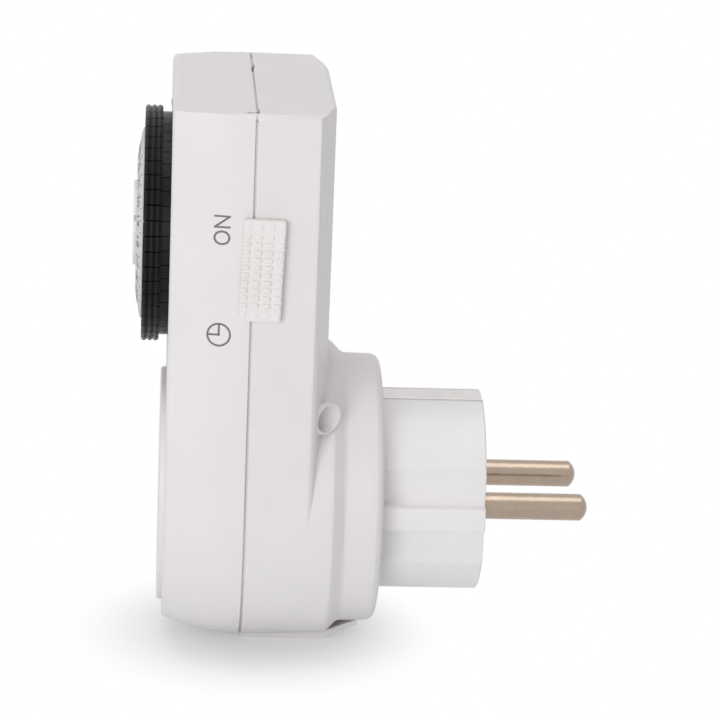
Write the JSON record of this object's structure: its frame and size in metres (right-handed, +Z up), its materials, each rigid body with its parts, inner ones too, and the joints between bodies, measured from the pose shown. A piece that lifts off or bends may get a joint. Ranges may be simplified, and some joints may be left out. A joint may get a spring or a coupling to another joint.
{
  "type": "plug-in timer switch",
  "caption": "Mechanical 24-hour segment timer in a plug-in housing, with an earthed outlet in front, a round two-pin plug behind and an override selector at the side.",
  "frame": {"origin": "centre of the plug's end face, on the plug's axis", "axes": "+Z up along the housing, +Y into the wall along the pins, +X towards the override selector"},
  "size_m": [0.056, 0.0823, 0.1013],
  "materials": {
    "shell_white": "satin moulded off-white plastic, fine grain",
    "outlet_white": "smooth moulded off-white plastic",
    "plug_white": "smooth moulded off-white plastic",
    "button_white": "smooth moulded off-white plastic",
    "shutter_grey": "matt light grey plastic",
    "frame_grey": "matt dark grey heat-proof plastic",
    "tappet_black": "satin black moulded plastic",
    "carrier_black": "matt black moulded plastic",
    "disc_grey": "satin light grey plastic with printed hours",
    "cap_white": "smooth off-white plastic",
    "gear_ivory": "natural acetal",
    "lever_white": "matt white plastic",
    "nickel": "bright nickel plate on brass",
    "earth_nickel": "satin nickel plate on bronze",
    "copper_strip": "rolled copper alloy strip",
    "contact_silver": "silver alloy contact",
    "steel": "bright drawn steel",
    "plate_steel": "zinc-plated sheet steel",
    "spring_steel": "bright spring wire",
    "coil_red": "enamelled copper winding under varnish"
  },
  "bodies": {
    "root": {"front_shell": "shell_white", "rear_shell": "shell_white", "socket_base": "outlet_white", "shutter_spring": "spring_steel", "contact_frame": "frame_grey", "live_clip": "copper_strip", "neutral_clip": "copper_strip", "upper_earth_strip": "earth_nickel", "lower_earth_strip": "earth_nickel", "plug_body": "plug_white", "live_pin": "nickel", "neutral_pin": "nickel", "live_bar": "copper_strip", "load_bar": "copper_strip", "neutral_bar": "copper_strip", "fixed_contact": "contact_silver", "lever_pin": "steel", "lever_spring": "spring_steel", "movement_plate": "plate_steel", "dial_arbor": "steel", "idler_arbor": "steel", "motor_lid": "plate_steel", "motor_can": "plate_steel", "motor_coil": "coil_red", "motor_screws": "steel", "plate_screws": "steel", "housing_screws": "steel"},
    "selector": {"selector_button": "button_white", "selector_slider": "lever_white"},
    "lever": {"switch_lever": "lever_white"},
    "blade": {"contact_blade": "copper_strip", "moving_contact": "contact_silver"},
    "dial": {"dial_carrier": "carrier_black", "dial_disc": "disc_grey", "dial_cap": "cap_white", "dial_gear": "gear_ivory", "clutch_washer": "spring_steel"},
    "idler": {"idler_gear": "gear_ivory"},
    "rotor": {"motor_pinion": "steel"},
    "shutter": {"shutter": "shutter_grey"},
    "tappets_00": {"tappets_00": "tappet_black"},
    "tappets_02": {"tappets_02": "tappet_black"},
    "tappets_04": {"tappets_04": "tappet_black"},
    "tappets_06": {"tappets_06": "tappet_black"},
    "tappets_08": {"tappets_08": "tappet_black"},
    "tappets_10": {"tappets_10": "tappet_black"},
    "tappets_12": {"tappets_12": "tappet_black"},
    "tappets_14": {"tappets_14": "tappet_black"},
    "tappets_16": {"tappets_16": "tappet_black"},
    "tappets_18": {"tappets_18": "tappet_black"},
    "tappets_20": {"tappets_20": "tappet_black"},
    "tappets_22": {"tappets_22": "tappet_black"}
  },
  "joints": [
    {"name": "dial_turn", "type": "hinge", "parent": "root", "child": "dial", "pos_m": [0, -0.0548, 0.0484], "axis": [0, 1, 0], "continuous": true},
    {"name": "idler_turn", "type": "hinge", "parent": "root", "child": "idler", "pos_m": [-0.00712, -0.0498, 0.03078], "axis": [0, 1, 0], "continuous": true},
    {"name": "rotor_turn", "type": "hinge", "parent": "root", "child": "rotor", "pos_m": [-0.01312, -0.0488, 0.04118], "axis": [0, 1, 0], "continuous": true},
    {"name": "selector_slide", "type": "slide", "parent": "root", "child": "selector", "axis": [0, 0, 1], "range_m": [-0.006, 0]},
    {"name": "lever_swing", "type": "hinge", "parent": "root", "child": "lever", "pos_m": [0.0186, -0.0428, 0.03], "axis": [1, 0, 0], "range_deg": [0, 5.3]},
    {"name": "blade_flex", "type": "hinge", "parent": "root", "child": "blade", "pos_m": [0.01, -0.0374, 0.0255], "axis": [1, 0, 0], "range_deg": [0, 2.4]},
    {"name": "shutter_turn", "type": "hinge", "parent": "root", "child": "shutter", "pos_m": [0, -0.0371, 0], "axis": [0, 1, 0], "range_deg": [0, 40], "stiffness_Nm_per_rad": 0.002, "springref_deg": -57.3},
    {"name": "tappets_00_press", "type": "slide", "parent": "dial", "child": "tappets_00", "axis": [0, 1, 0], "range_m": [0, 0.0015]},
    {"name": "tappets_02_press", "type": "slide", "parent": "dial", "child": "tappets_02", "axis": [0, 1, 0], "range_m": [0, 0.0015]},
    {"name": "tappets_04_press", "type": "slide", "parent": "dial", "child": "tappets_04", "axis": [0, 1, 0], "range_m": [0, 0.0015]},
    {"name": "tappets_06_press", "type": "slide", "parent": "dial", "child": "tappets_06", "axis": [0, 1, 0], "range_m": [0, 0.0015]},
    {"name": "tappets_08_press", "type": "slide", "parent": "dial", "child": "tappets_08", "axis": [0, 1, 0], "range_m": [0, 0.0015]},
    {"name": "tappets_10_press", "type": "slide", "parent": "dial", "child": "tappets_10", "axis": [0, 1, 0], "range_m": [0, 0.0015]},
    {"name": "tappets_12_press", "type": "slide", "parent": "dial", "child": "tappets_12", "axis": [0, 1, 0], "range_m": [0, 0.0015]},
    {"name": "tappets_14_press", "type": "slide", "parent": "dial", "child": "tappets_14", "axis": [0, 1, 0], "range_m": [0, 0.0015]},
    {"name": "tappets_16_press", "type": "slide", "parent": "dial", "child": "tappets_16", "axis": [0, 1, 0], "range_m": [0, 0.0015]},
    {"name": "tappets_18_press", "type": "slide", "parent": "dial", "child": "tappets_18", "axis": [0, 1, 0], "range_m": [0, 0.0015]},
    {"name": "tappets_20_press", "type": "slide", "parent": "dial", "child": "tappets_20", "axis": [0, 1, 0], "range_m": [0, 0.0015]},
    {"name": "tappets_22_press", "type": "slide", "parent": "dial", "child": "tappets_22", "axis": [0, 1, 0], "range_m": [0, 0.0015]}
  ],
  "couplings": [
    {"joint": "idler_turn", "follows": "dial_turn", "ratio": -5.3333},
    {"joint": "rotor_turn", "follows": "dial_turn", "ratio": 16},
    {"joint": "lever_swing", "follows": "selector_slide", "rad_per_m": -15.417},
    {"joint": "blade_flex", "follows": "selector_slide", "rad_per_m": -6.9813}
  ]
}
